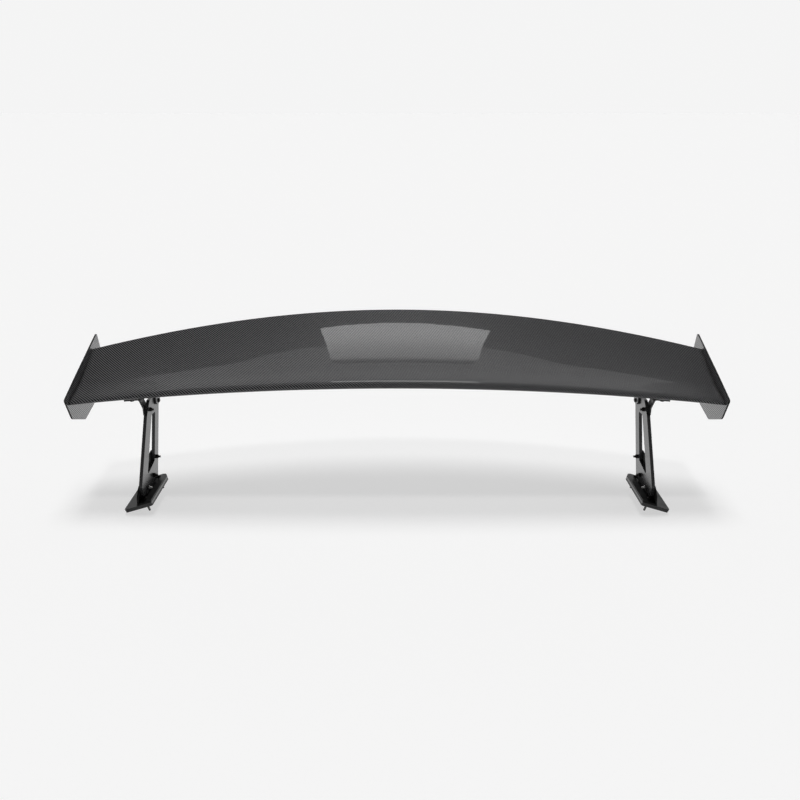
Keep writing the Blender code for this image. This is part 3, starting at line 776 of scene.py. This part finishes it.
def section(span):
    """Leading edge, chord vector and the vector across it, at a place along the span."""
    share = (span / WING_END) ** 2
    nose = Vector((span, *[m + (t - m) * share for m, t in zip(NOSE_MID, NOSE_TIP)]))
    tail = Vector((span, *[m + (t - m) * share for m, t in zip(TAIL_MID, TAIL_TIP)]))
    along = tail - nose
    across = Vector((0, -along.z, along.y)).normalized()
    return nose, along, across


def surface(span, x, side, inset=0.0):
    """A point on the upper (side 1) or lower (side -1) surface, or inset below it."""
    nose, along, across = section(span)
    height = half_thickness(x) * along.length + TAIL_HALF * x + BOND - inset
    return nose + along * x + across * (camber(x) * along.length + side * height)


def lower_point(span, y):
    """The lower surface's point above the given plan position."""
    low, high = 0.0, 1.0
    for _ in range(HALVINGS):
        middle = (low + high) / 2
        if surface(span, middle, -1).y < y:
            low = middle
        else:
            high = middle
    return surface(span, low, -1)


def seat_under(side, x_range, y_range):
    """The height (x, y) of the plane that lies just under the wing over a rectangle."""
    (x0, x1), (y0, y1) = [side * x for x in x_range], y_range
    corner = {(x, y): lower_point(x, y).z for x in (x0, x1) for y in (y0, y1)}
    slope_x = (corner[x1, y0] + corner[x1, y1] - corner[x0, y0] - corner[x0, y1]) / 2 / (x1 - x0)
    slope_y = (corner[x0, y1] + corner[x1, y1] - corner[x0, y0] - corner[x1, y0]) / 2 / (y1 - y0)
    shares = [index / SEAT_STEPS for index in range(SEAT_STEPS + 1)]
    spots = [(x0 + (x1 - x0) * i, y0 + (y1 - y0) * j) for i in shares for j in shares]
    level = min(lower_point(x, y).z - slope_x * x - slope_y * y for x, y in spots) - SEAT_GAP
    return lambda x, y: level + slope_x * x + slope_y * y


def seat_frame(seat, x, y, below=0.0):
    """A frame on a seat whose Z is square to it and points into the wing."""
    slope_x = seat(1, 0) - seat(0, 0)
    slope_y = seat(0, 1) - seat(0, 0)
    along = Vector((1, 0, slope_x)).normalized()
    normal = Vector((-slope_x, -slope_y, 1)).normalized()
    turn = Matrix((along, normal.cross(along), normal)).transposed().to_4x4()
    return shift(x, y, seat(x, y)) @ turn @ shift(0, 0, -below)


def make_skin(name, side):
    """One moulded skin, with the cloth's run along it kept as the weave coordinates."""
    work = bmesh.new()
    weave = work.loops.layers.uv.new("weave")
    shares = [(1 - math.cos(math.pi * step / CHORD_STEPS)) / 2 for step in range(CHORD_STEPS + 1)]
    rows, lengths = [], []
    for step in range(SPAN_STEPS + 1):
        span = WING_END * (2 * step / SPAN_STEPS - 1)
        line = [surface(span, x, side) for x in shares]
        run = [0.0]
        for a, b in zip(line, line[1:]):
            run.append(run[-1] + (b - a).length)
        lengths.append([(span, side * distance) for distance in run])
        rows.append([work.verts.new(point) for point in line])
    for low, high, low_run, high_run in zip(rows, rows[1:], lengths, lengths[1:]):
        for index in range(len(low) - 1):
            corners = [(low[index], low_run[index]), (high[index], high_run[index]),
                       (high[index + 1], high_run[index + 1]),
                       (low[index + 1], low_run[index + 1])]
            corners = corners if side > 0 else corners[::-1]
            face = work.faces.new([vert for vert, _ in corners])
            face.smooth = True
            for loop, (_, spot) in zip(face.loops, corners):
                loop[weave].uv = spot
    mesh = bpy.data.meshes.new(name)
    work.to_mesh(mesh)
    work.free()
    finishes = (CARBON, BARE, CARBON_EDGE)
    skin = add_piece(name + "_look", mesh, finishes, "wing", name)
    solidify = skin.modifiers.new("thickness", "SOLIDIFY")
    solidify.thickness = SKIN
    solidify.offset = -1
    solidify.use_even_offset = True
    solidify.material_offset = 1
    solidify.material_offset_rim = 2


def rib_screw_spots():
    """(y, z) of the end plate screws, on the camber line."""
    nose, along, across = section(WING_END)
    spots = []
    for x in RIB_SCREWS:
        point = nose + along * x + across * camber(x) * along.length
        spots.append((point.y, point.z))
    return spots


def screw_frame(side, spot):
    """A frame on the end plate's outside, its Z pointing away from the wing."""
    return (shift(side * (HALF_SPAN - SCREW_HEAD), *spot)
            @ Matrix.Rotation(side * math.pi / 2, 4, "Y"))


def flat_weave(mesh):
    """Weave coordinates of a flat sheet, and its cut edge in the second material."""
    layer = mesh.uv_layers.new(name="weave")
    for polygon in mesh.polygons:
        polygon.material_index = 0 if abs(polygon.normal.z) > 0.5 else 1
        for loop in polygon.loop_indices:
            spot = mesh.vertices[mesh.loops[loop].vertex_index].co
            layer.data[loop].uv = spot.xy


def make_end_plate(label, side):
    name = "end_plate_" + label
    loops = [rounded(END_OUTLINE, END_RADII)]
    loops += [circle(spot, SMALL_HOLE) for spot in rib_screw_spots()]
    mesh = flat_mesh(name, loops, END_PLATE, PLATE_EDGE)
    flat_weave(mesh)
    middle = HALF_SPAN - SCREW_HEAD - GAP - END_PLATE / 2
    plate = add_piece(name + "_look", mesh, (PLATE_CARBON, CARBON_EDGE), "wing",
                      name, shift(side * middle, 0, 0) @ TO_SIDE)
    weighted_normals(plate)
    for place, spot in zip(("front", "middle", "rear"), rib_screw_spots()):
        add_bolt(f"end_screw_{place}_{label}", "wing", screw_frame(side, spot), END_SCREW,
                 SCREW_SHANK, BLACK_STEEL, "M4")


# ---- what joins the wing to the stands ----------------------------------------------------
def bracket_screw(name, seat, spot, thickness, piece):
    """A screw from below through a flange and the lower skin into the mount block."""
    length = thickness + GAP + SKIN + SCREW_BITE
    frame_under = seat_frame(seat, *spot, thickness + GAP) @ Matrix.Rotation(math.pi, 4, "X")
    cut_hole(piece, DRILL_SPARE, -length, frame_under)
    add_bolt(name, "wing", frame_under, length, SCREW_SHANK, BLACK_STEEL)


def adjuster_spot():
    """(y, z) of the adjuster bolt in its slot."""
    return (PIVOT[0] + SLOT_RADIUS * math.cos(SLOT_REST),
            PIVOT[1] + SLOT_RADIUS * math.sin(SLOT_REST))


def stand_matrix(side):
    """A stand plate's frame: canted, at the pivot's height."""
    return shift(side * STAND_X, 0, STAND_Z) @ Matrix.Rotation(-side * CANT, 4, "Y")


def base_matrix(side):
    """A base plate's frame, on its top."""
    return (shift(side * BASE_CENTRE[0], BASE_CENTRE[1], BASE_CENTRE[2])
            @ Matrix.Rotation(side * BASE_ROLL, 4, "Y"))


def lowered(loops):
    """Outlines moved to the stand's own height."""
    return [[(y, z - STAND_Z) for y, z in loop] for loop in loops]


def make_wing_bracket(label, side):
    """The rear bracket: a leg on the stand's inner face and a flange under the wing."""
    name = "wing_bracket_" + label
    seat = seat_under(side, BRACKET_X, BRACKET_Y)
    inboard = -STAND_PLATE / 2 - LEG_CLEAR - BRACKET / 2
    leg_x = side * (STAND_X + inboard)
    outline = [(y, min(z, seat(leg_x, y) - DRILL_SPARE))
               for y, z in rounded(BRACKET_LEG, LEG_RADII)]
    loops = lowered([outline, circle(adjuster_spot(), HOLE_R)])
    leg = flat_mesh(name + "_leg", loops, BRACKET, FOLD_EDGE)
    size = (BRACKET_X[1] - BRACKET_X[0], BRACKET_Y[1] - BRACKET_Y[0])
    outline = rounded(rectangle(size), [BRACKET_CORNER] * 4)
    flange = flat_mesh(name + "_flange", [outline], BRACKET, FOLD_EDGE)
    middle = (side * sum(BRACKET_X) / 2, sum(BRACKET_Y) / 2)
    mesh = union_mesh(name, [
        (leg, stand_matrix(side) @ shift(side * inboard, 0, 0) @ TO_SIDE),
        (flange, seat_frame(seat, *middle, BRACKET / 2))])
    bracket = add_piece(name + "_look", mesh, ANODISED, "wing", name)
    for place, (x, y) in zip(("inner", "outer"), BRACKET_SCREWS):
        bracket_screw(f"bracket_screw_{place}_{label}", seat, (side * x, y), BRACKET, bracket)
    finish_metal(bracket)


def make_wing_stay(label, side):
    """The narrow outer stay: a bent strap from the pivot out to a flange under the wing."""
    name = "wing_stay_" + label
    inner = STAND_X + STAND_PLATE / 2 + LEG_CLEAR
    seat = seat_under(side, (inner + STAY_LEAN, STAY_X), STAY_Y)
    foot = STAND_Z - STAY_FOOT
    knee = STAND_Z + STAY_KNEE
    strap = STAY_STRAP
    rings = []
    for y in STAY_Y:
        top = [seat(side * x, y) for x in (inner + STAY_LEAN, STAY_X)]
        profile = [(inner, foot), (inner + strap, foot), (inner + strap, knee - STAY_BEND),
                   (inner + strap + STAY_LEAN, top[0] - strap), (STAY_X, top[1] - strap),
                   (STAY_X, top[1]), (inner + STAY_LEAN, top[0]), (inner, knee + STAY_BEND)]
        rings.append([(side * x, y, z) for x, z in rounded(profile, STAY_RADII, STAY_STEPS)])
    mesh = ring_mesh(name, rings)
    round_edges(mesh, STRAP_EDGE)
    stay = add_piece(name + "_look", mesh, ANODISED, "wing", name)
    cut_hole(stay, CUT_REACH, -CUT_REACH, side_frame(side, PIVOT, 0))
    bracket_screw("stay_screw_" + label, seat, (side * STAY_SCREW[0], STAY_SCREW[1]), strap, stay)
    finish_metal(stay)


def cut_hole(obj, top, bottom, matrix):
    """Drill a hole between two heights of a frame and keep the result in the mesh."""
    rings = [around(HOLE_R, top), around(HOLE_R, bottom)]
    cutter = bpy.data.objects.new("drill", ring_mesh(obj.name + "_drill", rings))
    bpy.context.scene.collection.objects.link(cutter)
    cutter.matrix_world = matrix
    boolean(obj, cutter, "DIFFERENCE")
    graph = bpy.context.evaluated_depsgraph_get()
    mesh = bpy.data.meshes.new_from_object(obj.evaluated_get(graph))
    obj.modifiers.clear()
    obj.data = mesh
    bpy.data.objects.remove(cutter, do_unlink=True)


def side_frame(side, spot, reach, facing=1):
    """A frame of a stand, out from the plate's mid-plane, or inboard where it faces -1."""
    return (stand_matrix(side) @ shift(facing * side * reach, spot[0], spot[1] - STAND_Z)
            @ Matrix.Rotation(facing * side * math.pi / 2, 4, "Y"))


def bolt_and_nut(name, label, side, spot, outer, inner, tail, body, nut_finish, facing=1):
    """A bolt and its nut; the head is outboard, or inboard where it faces -1."""
    under_head = outer + GAP
    nut_face = inner - GAP
    length = under_head - nut_face + NUT_REACH + tail
    shank = under_head - nut_face - NUT_RUN
    add_bolt(f"{name}_bolt_{label}", body, side_frame(side, spot, under_head, facing), length,
             shank, nut_finish)
    nut_place = side_frame(side, spot, nut_face, facing) @ Matrix.Rotation(math.pi, 4, "X")
    add_nut(f"{name}_nut_{label}", body, nut_place, nut_finish)


# ---- stands -------------------------------------------------------------------------------
def make_stand(label, side):
    name = "stand_plate_" + label
    loops = [rounded(STAND_OUTLINE, STAND_RADII), rounded(STAND_WINDOW, WINDOW_RADII),
             arc_slot(PIVOT, SLOT_RADIUS, SLOT_REST + SLOT_DOWN, SLOT_REST + SLOT_UP, SLOT_R)]
    loops += [circle(spot, HOLE_R) for spot in (PIVOT, *FOOT_BOLTS)]
    mesh = flat_mesh(name, lowered(loops), STAND_PLATE, STAND_EDGE)
    plate = add_piece(name + "_look", mesh, ANODISED, "stands", name,
                      stand_matrix(side) @ TO_SIDE)
    finish_metal(plate)
    half = STAND_PLATE / 2
    bolt_and_nut("pivot", label, side, PIVOT, half + LEG_CLEAR + STAY_STRAP, -half, BOLT_TAIL,
                 "stands", BLACK_STEEL)
    bolt_and_nut("adjuster", label, side, adjuster_spot(), half + LEG_CLEAR + BRACKET,
                 -half - LEG_CLEAR, BOLT_TAIL, "wing", BLACK_STEEL, facing=-1)
    finishes = (BLACK_STEEL, BLACK_STEEL, STEEL)
    for place, spot, metal in zip(("rear", "middle", "front"), FOOT_BOLTS, finishes):
        bolt_and_nut("foot_" + place, label, side, spot, half + GAP + BRACKET, -half,
                     FOOT_TAIL, "stands", metal)


def base_outline(inset=0.0):
    """The base plate's outline, drawn in by an inset."""
    return rounded(rectangle([size - 2 * inset for size in BASE_SIZE]), BASE_RADII)


def make_foot(label, side):
    """Rubber pad, base plate and the bracket that carries the stand plate."""
    bolt_x = -side * BASE_BOLT_X
    holes = [circle((bolt_x, y), HOLE_R) for y in BASE_BOLTS_Y]
    place = base_matrix(side)
    plate = flat_mesh("base_plate_" + label, [base_outline()] + holes, BASE_PLATE, PLATE_EDGE)
    # Painted shade: the top and bottom faces take the darker matt powder coat and the sides the
    # lighter anodised finish, so the plate's top reads as shaded.
    for face in plate.polygons:
        face.material_index = int(abs(face.normal.z) < 0.9)
    plate = add_piece(f"base_plate_{label}_look", plate, (POWDER, ANODISED), "stands",
                      "base_plate_" + label,
                      place @ shift(0, 0, -BASE_PLATE / 2))
    finish_metal(plate)
    pad = flat_mesh("foot_pad_" + label, [base_outline(PAD_INSET)] + holes, PAD, PAD_EDGE)
    pad = add_piece(f"foot_pad_{label}_look", pad, RUBBER, "stands",
                    "foot_pad_" + label, place @ shift(0, 0, -BASE_PLATE - GAP - PAD / 2))
    finish_metal(pad)
    make_foot_bracket(label, side, holes)
    top = GAP + BRACKET + GAP
    height = BASE_CENTRE[2] + BASE_BOLT_X * math.sin(BASE_ROLL) + top * math.cos(BASE_ROLL)
    length = (height - BOLT_R * (1 - TIP) * math.sin(BASE_ROLL)) / math.cos(BASE_ROLL)
    for where, y in zip(("front", "rear"), BASE_BOLTS_Y):
        add_bolt(f"base_bolt_{where}_{label}", "stands", place @ shift(bolt_x, y, top), length,
                 BASE_SHANK, STEEL, head_finish=BLACK_STEEL, turned=True)


def make_foot_bracket(label, side, holes):
    """A flange on the stand plate's outer face, on a leg that lies on the base plate."""
    name = "foot_bracket_" + label
    flange_holes = [circle(spot, HOLE_R) for spot in FOOT_BOLTS]
    loops = lowered([rounded(FOOT_FLANGE, FLANGE_RADII)] + flange_holes)
    outboard = STAND_PLATE / 2 + GAP + BRACKET / 2
    flange = flat_mesh(name + "_flange", loops, BRACKET, FOLD_EDGE)
    width, length = (size / 2 for size in BASE_SIZE)
    corners = [(-width, -length), (BASE_REACH, -length), (BASE_REACH, length), (-width, length)]
    radii = LEG_END_RADII
    if side < 0:
        corners = [(-x, y) for x, y in corners][::-1]
        radii = radii[::-1]
    leg = flat_mesh(name + "_leg", [rounded(corners, radii)] + holes, BRACKET, FOLD_EDGE)
    mesh = union_mesh(name, [
        (flange, stand_matrix(side) @ shift(side * outboard, 0, 0) @ TO_SIDE),
        (leg, base_matrix(side) @ shift(0, 0, GAP + BRACKET / 2))])
    bracket = add_piece(name + "_look", mesh, POWDER, "stands", name)
    finish_metal(bracket)


def finish_hidden_nodes():
    """The pieces inside the wing keep their CAD shape and get their own materials."""
    looks = {"main_spar": CORE, "rear_spar": CORE}
    for label, _ in SIDES:
        looks["end_rib_" + label] = CORE
        looks["mount_block_" + label] = ALLOY
    for node, material in looks.items():
        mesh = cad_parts[node].data
        mesh.materials.clear()
        mesh.materials.append(material)


# ---- studio -------------------------------------------------------------------------------
def make_floor():
    corners = [(x, y, 0) for x, y in rectangle((2 * FLOOR_HALF, 2 * FLOOR_HALF))]
    mesh = bpy.data.meshes.new("studio_floor")
    mesh.from_pydata(corners, [], [(0, 1, 2, 3)])
    floor = bpy.data.objects.new("studio_floor", mesh)
    bpy.context.scene.collection.objects.link(floor)
    mesh.materials.append(floor_material())
    floor.visible_glossy = False


def make_world():
    """White walls behind and beside the object, a dim ceiling, and a dark studio in front.

    The camera sees one even pale background whichever way it looks.
    """
    world = bpy.data.worlds.new("studio")
    world.use_nodes = True
    tree = world.node_tree
    background = tree.nodes["Background"]
    place = tree.nodes.new("ShaderNodeTexCoord")
    axes = tree.nodes.new("ShaderNodeSeparateXYZ")
    tree.links.new(place.outputs["Generated"], axes.inputs[0])

    def step(source, low, high, before, after):
        node = tree.nodes.new("ShaderNodeMapRange")
        node.interpolation_type = "SMOOTHSTEP"
        tree.links.new(source, node.inputs["Value"])
        for name, value in (("From Min", low), ("From Max", high),
                            ("To Min", before), ("To Max", after)):
            node.inputs[name].default_value = value
        return node.outputs["Result"]

    def combine(operation, one, other):
        node = tree.nodes.new("ShaderNodeMath")
        node.operation = operation
        for socket, value in zip(node.inputs, (one, other)):
            tree.links.new(value, socket)
        return node.outputs[0]

    wall = step(axes.outputs["Z"], *CEILING_FROM, BACKGROUND, CEILING)
    front = step(axes.outputs["Y"], *FRONT_FROM, FRONT, 1.0)
    under = step(axes.outputs["Z"], *UNDER_FROM, CEILING, 1.0)
    light = combine("MULTIPLY", combine("MULTIPLY", wall, front), under)
    seen = tree.nodes.new("ShaderNodeMix")
    tree.links.new(tree.nodes.new("ShaderNodeLightPath").outputs["Is Camera Ray"], seen.inputs[0])
    tree.links.new(light, seen.inputs[2])
    seen.inputs[3].default_value = BACKGROUND
    tree.links.new(seen.outputs[0], background.inputs["Color"])
    bpy.context.scene.world = world


def make_lights():
    """Soft lights for the shadow, and the fading softboxes that the wing mirrors."""
    for name, strength, tilt, spread in SUNS:
        sun = bpy.data.lights.new(name, "SUN")
        sun.energy = strength
        sun.angle = math.radians(spread)
        holder = bpy.data.objects.new(name, sun)
        bpy.context.scene.collection.objects.link(holder)
        holder.rotation_euler = (-math.radians(tilt), 0, 0)
        holder.visible_glossy = False
    for place, size, power in SOFTBOXES:
        make_softbox(place, size, power)


def make_softbox(place, size, power):
    """A light overhead that fades towards its far side and that only reflections show."""
    box = bpy.data.lights.new("softbox", "AREA")
    box.shape = "RECTANGLE"
    box.size, box.size_y = size
    box.energy = power
    box.use_nodes = True
    tree = box.node_tree
    across = tree.nodes.new("ShaderNodeSeparateXYZ")
    tree.links.new(tree.nodes.new("ShaderNodeNewGeometry").outputs["Parametric"], across.inputs[0])
    fade = tree.nodes.new("ShaderNodeMapRange")
    fade.interpolation_type = "SMOOTHSTEP"
    tree.links.new(across.outputs["Y"], fade.inputs["Value"])
    for socket, value in zip(fade.inputs[1:5], (*SOFTBOX_FADE, 1.0, 0.0)):
        socket.default_value = value
    tree.links.new(fade.outputs["Result"], tree.nodes["Emission"].inputs["Strength"])
    holder = bpy.data.objects.new("softbox", box)
    bpy.context.scene.collection.objects.link(holder)
    holder.location = place
    holder.visible_camera = False
    holder.visible_diffuse = False


def make_camera():
    lens = bpy.data.cameras.new("camera")
    lens.lens = CAMERA_LENS
    lens.sensor_width = CAMERA_SENSOR
    lens.shift_x = CAMERA_SHIFT
    lens.clip_end = CAMERA_FAR
    camera = bpy.data.objects.new("camera", lens)
    bpy.context.scene.collection.objects.link(camera)
    camera.location = CAMERA_PLACE
    camera.rotation_euler = (math.pi / 2 - CAMERA_DOWN, 0, 0)
    bpy.context.scene.camera = camera


# ---- build --------------------------------------------------------------------------------
finish_hidden_nodes()
make_skin("upper_skin", 1)
make_skin("lower_skin", -1)
for side_label, side_sign in SIDES:
    make_end_plate(side_label, side_sign)
    make_wing_bracket(side_label, side_sign)
    make_wing_stay(side_label, side_sign)
    make_stand(side_label, side_sign)
    make_foot(side_label, side_sign)
make_floor()
make_world()
make_lights()
make_camera()
bpy.context.scene.view_settings.view_transform = "Standard"
